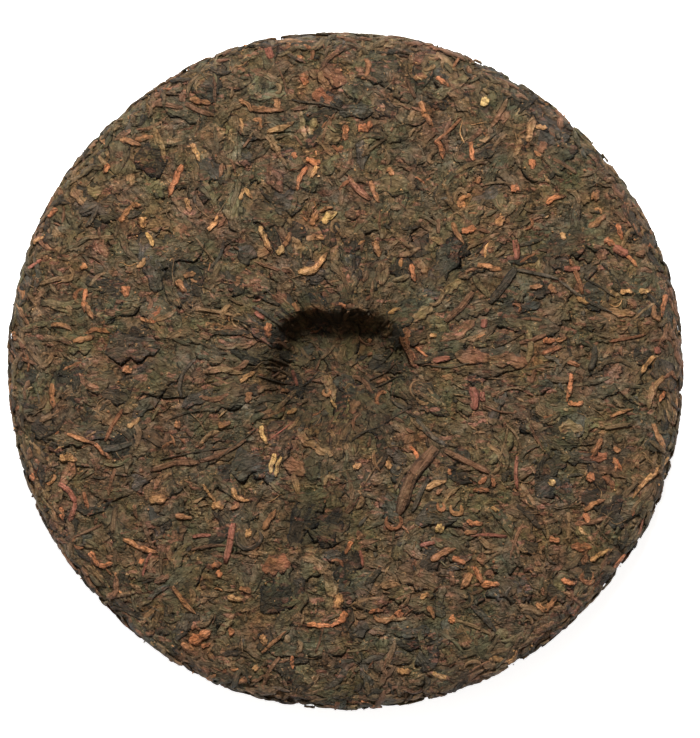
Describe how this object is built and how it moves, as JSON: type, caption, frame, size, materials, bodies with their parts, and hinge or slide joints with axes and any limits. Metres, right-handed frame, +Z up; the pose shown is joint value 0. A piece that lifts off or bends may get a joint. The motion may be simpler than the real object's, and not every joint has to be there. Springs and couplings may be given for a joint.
{
  "type": "pu erh tea cake",
  "caption": "Round disc of pressed whole-leaf black tea with a domed front and a hollow in its back, resting with the hollow up.",
  "frame": {"origin": "on the table under the middle of the cake, at the middle of the flat spot that it rests on", "axes": "+Z up out of the back of the cake, +Y towards the steep side of the hollow, +X to the right of that as the back is looked at"},
  "size_m": [0.199, 0.2, 0.0241],
  "materials": {
    "pressed_leaf": "dry pressed leaf, dark olive brown, faintly glossy where it is rubbed",
    "golden_bud": "dry leaf bud, golden to orange, matt",
    "red_stalk": "dry stalk, reddish brown, satin"
  },
  "bodies": {
    "root": {"tea_cake": "pressed_leaf"}
  },
  "joints": []
}
